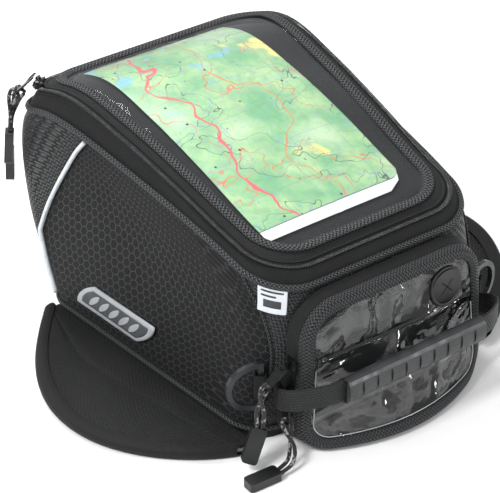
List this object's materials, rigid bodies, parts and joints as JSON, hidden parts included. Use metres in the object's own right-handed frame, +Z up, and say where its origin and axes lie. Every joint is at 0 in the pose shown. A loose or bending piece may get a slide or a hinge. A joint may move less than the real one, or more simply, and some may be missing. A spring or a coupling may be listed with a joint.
{
  "type": "motorcycle tank bag",
  "caption": "Soft tank bag with a clear map sleeve in its zipped lid, a clear front pocket, a carry handle, strap rings and magnetic side flaps.",
  "frame": {"origin": "on the surface under the middle of the base panel, at the middle of the bag's width", "axes": "+Z up, +Y towards the handlebars, -Y towards the rider, +X to the rider's right"},
  "size_m": [0.4744, 0.4297, 0.2341],
  "materials": {
    "ballistic_nylon": "coarse ballistic weave with a slight sheen",
    "hex_nylon": "woven fabric with a raised hexagon grid, matt",
    "base_grip": "matt non-slip sheet",
    "foam_board": "stiff board in a fabric liner",
    "zip_tape": "ribbed coil-zip tape",
    "mesh_binding": "braided edge binding",
    "reflective": "retro-reflective film over piping cord",
    "clear_vinyl": "clear, glossy, slightly wavy",
    "map_paper": "folded printed sheet, satin",
    "lining": "smooth lining fabric",
    "webbing": "woven polypropylene webbing",
    "rubber": "satin moulded rubber",
    "ring_plastic": "satin moulded acetal",
    "black_metal": "black satin paint on cast zinc",
    "cord": "braided cord with pale flecks",
    "badge_rubber": "moulded soft rubber with a dark inset",
    "label_cloth": "white woven cloth",
    "magnet_steel": "coated magnet plate"
  },
  "bodies": {
    "shell": {"rider_panel": "ballistic_nylon", "right_side_panel": "hex_nylon", "head_panel": "ballistic_nylon", "left_side_panel": "hex_nylon", "left_reflective_piping": "reflective", "right_reflective_piping": "reflective", "base_panel": "base_grip", "base_stiffener": "foam_board", "base_piping": "mesh_binding", "body_zip_tape": "zip_tape", "lid_hinge_strip": "zip_tape", "pocket_gusset": "zip_tape", "pocket_rim_lower": "mesh_binding", "pocket_window_lower": "clear_vinyl", "pocket_elastic_strap": "webbing", "phone_sleeve": "lining", "handle_anchor_left": "webbing", "handle_anchor_right": "webbing", "d_ring_tab_left": "webbing", "d_ring_tab_right": "webbing", "left_badge": "badge_rubber", "right_badge": "badge_rubber", "front_label": "label_cloth"},
    "lid": {"lid_frame": "zip_tape", "map_window": "clear_vinyl", "map_sheet": "map_paper", "map_pocket_backing": "lining"},
    "pocket_cover": {"pocket_rim_upper": "mesh_binding", "pocket_window_upper": "clear_vinyl", "cable_port": "rubber"},
    "carry_handle": {"handle_webbing": "webbing", "handle_grip": "rubber"},
    "flap_left": {"flap_left_cover": "ballistic_nylon", "flap_left_backing": "base_grip", "flap_left_binding": "mesh_binding", "flap_left_magnet_1": "magnet_steel", "flap_left_magnet_2": "magnet_steel"},
    "ring_left": {"d_ring_left": "ring_plastic"},
    "flap_right": {"flap_right_cover": "ballistic_nylon", "flap_right_backing": "base_grip", "flap_right_binding": "mesh_binding", "flap_right_magnet_1": "magnet_steel", "flap_right_magnet_2": "magnet_steel"},
    "ring_right": {"d_ring_right": "ring_plastic"},
    "pocket_upper_zip": {"pocket_upper_slider": "black_metal"},
    "pocket_upper_puller": {"pocket_upper_pull": "black_metal", "pocket_upper_cord": "cord", "pocket_upper_end": "rubber"},
    "pocket_lower_zip": {"pocket_lower_slider": "black_metal"},
    "pocket_lower_puller": {"pocket_lower_pull": "black_metal", "pocket_lower_cord": "cord", "pocket_lower_end": "rubber"},
    "lid_left_zip": {"lid_left_slider": "black_metal"},
    "lid_left_puller": {"lid_left_pull": "black_metal", "lid_left_cord": "cord", "lid_left_end": "rubber"},
    "lid_rear_zip": {"lid_rear_slider": "black_metal"},
    "lid_rear_puller": {"lid_rear_pull": "black_metal", "lid_rear_cord": "cord", "lid_rear_end": "rubber"}
  },
  "joints": [
    {"name": "lid_open", "type": "hinge", "parent": "shell", "child": "lid", "pos_m": [0, 0.199, 0.2082], "axis": [-1, 0, 0], "range_deg": [0, 110]},
    {"name": "pocket_cover_fold", "type": "hinge", "parent": "shell", "child": "pocket_cover", "pos_m": [0, -0.1815, 0.09], "axis": [1, 0, 0], "range_deg": [0, 90]},
    {"name": "handle_swing", "type": "hinge", "parent": "shell", "child": "carry_handle", "pos_m": [0, -0.153, 0.06], "axis": [1, 0, 0], "range_deg": [-25, 10]},
    {"name": "flap_left_lift", "type": "hinge", "parent": "shell", "child": "flap_left", "pos_m": [-0.1375, 0, 0.0056], "axis": [-0.0388, 0.9992, 0], "range_deg": [-60, 55]},
    {"name": "flap_right_lift", "type": "hinge", "parent": "shell", "child": "flap_right", "pos_m": [0.1375, 0, 0.0056], "axis": [-0.0388, -0.9992, 0], "range_deg": [-70, 40]},
    {"name": "ring_left_swing", "type": "hinge", "parent": "shell", "child": "ring_left", "pos_m": [-0.1227, -0.1428, 0.066], "axis": [0, 0, -1], "range_deg": [-25, 40]},
    {"name": "ring_right_swing", "type": "hinge", "parent": "shell", "child": "ring_right", "pos_m": [0.1227, -0.1428, 0.066], "axis": [0, 0, 1], "range_deg": [-25, 40]},
    {"name": "pocket_upper_zip_slide", "type": "slide", "parent": "shell", "child": "pocket_upper_zip", "axis": [0, 0, 1], "range_m": [0, 0.025]},
    {"name": "pocket_upper_puller_swing", "type": "hinge", "parent": "pocket_upper_zip", "child": "pocket_upper_puller", "pos_m": [-0.1151, -0.1631, 0.0913], "axis": [0, 1, 0], "range_deg": [0, 40]},
    {"name": "pocket_lower_zip_slide", "type": "slide", "parent": "shell", "child": "pocket_lower_zip", "axis": [0, 0, 1], "range_m": [0, 0.005]},
    {"name": "pocket_lower_puller_swing", "type": "hinge", "parent": "pocket_lower_zip", "child": "pocket_lower_puller", "pos_m": [-0.113, -0.1642, 0.06], "axis": [0, 1, 0], "range_deg": [0, 8]},
    {"name": "lid_left_zip_slide", "type": "slide", "parent": "lid", "child": "lid_left_zip", "axis": [-0.1999, -0.9344, 0.2948], "range_m": [0, 0.012]},
    {"name": "lid_left_puller_swing", "type": "hinge", "parent": "lid_left_zip", "child": "lid_left_puller", "pos_m": [-0.1313, 0.1843, 0.2231], "axis": [-1, 0, 0], "range_deg": [-110, 0]},
    {"name": "lid_rear_zip_slide", "type": "slide", "parent": "lid", "child": "lid_rear_zip", "axis": [0.7201, 0.6651, -0.198], "range_m": [0, 0.005]},
    {"name": "lid_rear_puller_swing", "type": "hinge", "parent": "lid_rear_zip", "child": "lid_rear_puller", "pos_m": [-0.1205, 0.1977, 0.2184], "axis": [-1, 0, 0], "range_deg": [-110, 0]}
  ],
  "couplings": [
    {"joint": "lid_left_puller_swing", "follows": "lid_open", "ratio": -1},
    {"joint": "lid_rear_puller_swing", "follows": "lid_open", "ratio": -1}
  ]
}
